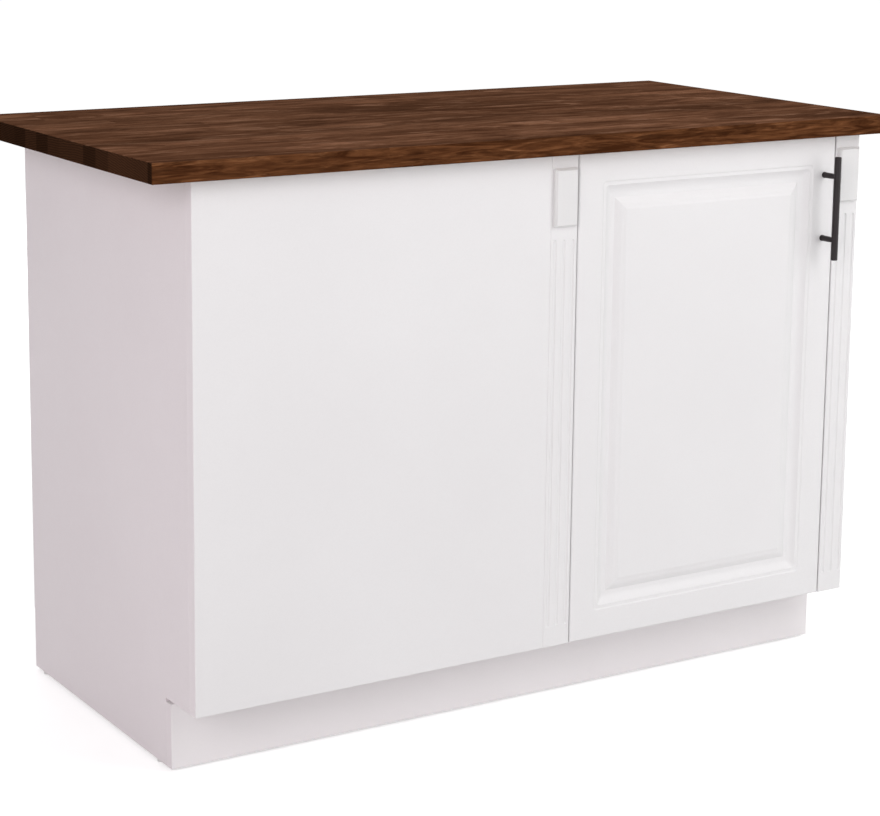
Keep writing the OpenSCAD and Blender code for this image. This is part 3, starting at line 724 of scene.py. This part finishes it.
def recess_cutter(corners):
    """Tapered cross that cuts the recess into the head of the screw with these corners."""
    low, high = box_of(corners)
    sides, middle = high - low, (low + high) / 2
    # the two sides of the box across the screw are alike, the one along it is not
    k = min(range(3), key=lambda i: abs(sides[i - 1] - sides[i - 2]))
    axis, u, v = (Vector([float(i == j % 3) for i in range(3)]) for j in (k, k + 1, k + 2))
    head = sides[k - 1]
    rim = [corner for corner in corners if axis.cross(corner - middle).length > RIM * head]
    inward = axis if sum((corner - middle).dot(axis) for corner in rim) < 0 else -axis
    face = middle - inward * sides[k] / 2
    rings = []
    for share in (-RECESS_PAST, 1.0):
        half = head * (MOUTH_HALF + (FOOT_HALF - MOUTH_HALF) * share)
        blade = head * (MOUTH_BLADE + (FOOT_BLADE - MOUTH_BLADE) * share)
        rings.append(cross_ring(face + inward * head * RECESS_DEPTH * share, u, v, half, blade))
    return loft("recess", rings)


def recess_screws():
    """The screws with a cross recess in each head, in place of their CAD nodes."""
    for body, names in CROSS_SCREWS.items():
        for node in names:
            mesh = welded(node)
            cutters = [recess_cutter(corners) for corners in solids_of(mesh)]
            add_piece(node + "_recessed", cut(mesh, joined("recesses", cutters)), body, node)


# A bumper's upright wall and its flat top, as shares of its height and of its radius
BUMPER_WALL, BUMPER_TOP = 0.4, 0.55


def make_bumpers():
    """Domed dots on the door's back: an upright wall, then a dome up to a small flat top."""
    dots = []
    for corners in solids_of(welded("door_bumpers")):
        low, high = box_of(corners)
        radius, tall = (high.x - low.x) / 2, high.y - low.y
        rows = [(0.0, radius)]
        for s in shares(6):
            a = math.pi / 2 * s
            rows.append((tall * (BUMPER_WALL + (1 - BUMPER_WALL) * math.sin(a)),
                         radius * (BUMPER_TOP + (1 - BUMPER_TOP) * math.cos(a))))
        place = inwards((low.x + high.x) / 2, low.y, (low.z + high.z) / 2)
        dots.append(lathe("dot", rows, place))
    add_piece("bumper_dots", joined("dots", dots), "door", "door_bumpers", 40.0)


# ---- studio ----

# Strength of the surroundings' light on the object
AMBIENT = 0.33
# The floor's own light where it is seen, which grows with the distance from the object
FLOOR_GLOW_NEAR, FLOOR_GLOW_FAR = 0.46, 0.72
FLOOR_NEAR, FLOOR_FAR = 1.2, 6.0
FLOOR_HALF = 40.0
PLAIN_WHITE = (1, 1, 1)
FAINT_ROSE = (1.0, 0.94, 0.962)
# Place, what it points at, width and height, watts, colour
LAMPS = {
    "key": ((1.5, -2.4, 3.0), (0.05, 0, 0.45), (1.8, 1.6), 26.0, PLAIN_WHITE),
    "front": ((2.6, -3.4, 1.5), (0.1, 0, 0.38), (2.8, 2.4), 49.5, PLAIN_WHITE),
    "left": ((-3.6, -2.6, 2.0), (-0.5, -0.1, 0.5), (2.0, 2.2), 74.0, FAINT_ROSE),
    "rear": ((1.4, 4.2, 2.2), (0, 0.2, 0.45), (3.0, 2.6), 85.0, PLAIN_WHITE),
}


def make_lamps():
    """Large soft lamps round the object, each turned towards its target."""
    for name, (at, to, size, watts, colour) in LAMPS.items():
        data = bpy.data.lights.new(name, "AREA")
        data.shape = "RECTANGLE"
        data.size, data.size_y = size
        data.energy = watts
        data.color = colour
        lamp = link(name, data)
        lamp.location = at
        lamp.rotation_euler = (Vector(to) - Vector(at)).to_track_quat("-Z", "Y").to_euler()


def seen_directly(tree):
    """1 on camera, mirror and see-through rays, 0 on the rays that light the object."""
    path = tree.nodes.new("ShaderNodeLightPath")
    seen = path.outputs["Is Camera Ray"]
    for other in ("Is Glossy Ray", "Is Transmission Ray"):
        either = tree.nodes.new("ShaderNodeMath")
        either.operation = "MAXIMUM"
        tree.links.new(seen, either.inputs[0])
        tree.links.new(path.outputs[other], either.inputs[1])
        seen = either.outputs[0]
    return seen


def make_world():
    """White to the camera and in reflections, and a softer light on the object."""
    world = bpy.data.worlds.new("studio")
    bpy.context.scene.world = world
    world.use_nodes = True
    tree = world.node_tree
    level = tree.nodes.new("ShaderNodeMapRange")
    tree.links.new(seen_directly(tree), level.inputs["Value"])
    level.inputs["To Min"].default_value = AMBIENT
    level.inputs["To Max"].default_value = 1.0
    background = tree.nodes["Background"]
    tree.links.new(level.outputs[0], background.inputs["Strength"])
    background.inputs["Color"].default_value = rgb(1, 1, 1)


def make_floor():
    """Pale floor that bounces light, and looks white with the object's soft shadow on it."""
    mesh = bpy.data.meshes.new("floor")
    h = FLOOR_HALF
    mesh.from_pydata([(-h, -h, 0), (h, -h, 0), (h, h, 0), (-h, h, 0)], [], [(0, 1, 2, 3)])
    g = Graph("studio_floor")
    colour = g.mix(g.cloud(g.noise(6, detail=3)), rgb(0.89, 0.89, 0.89), rgb(0.91, 0.91, 0.91))
    away = g.node("VectorMath", operation="LENGTH")
    g.put(g.place, away.inputs[0])
    glow = g.spread(away.outputs["Value"], FLOOR_NEAR, FLOOR_FAR, FLOOR_GLOW_NEAR, FLOOR_GLOW_FAR)
    g.finish(colour, g.cloud(g.noise(60), 0.7, 0.8), Specular_IOR_Level=0.0)
    g.shader.inputs["Emission Color"].default_value = rgb(1, 1, 1)
    g.put(g.math("MULTIPLY", seen_directly(g.tree), glow), g.shader.inputs["Emission Strength"])
    mesh.materials.append(g.material)
    piece = link("floor", mesh)


make_camera()
dress_nodes()
ease_boards()
make_door()
make_bar()
make_posts()
recess_screws()
make_bumpers()
make_world()
make_lamps()
make_floor()
bpy.context.scene.view_settings.view_transform = "Standard"
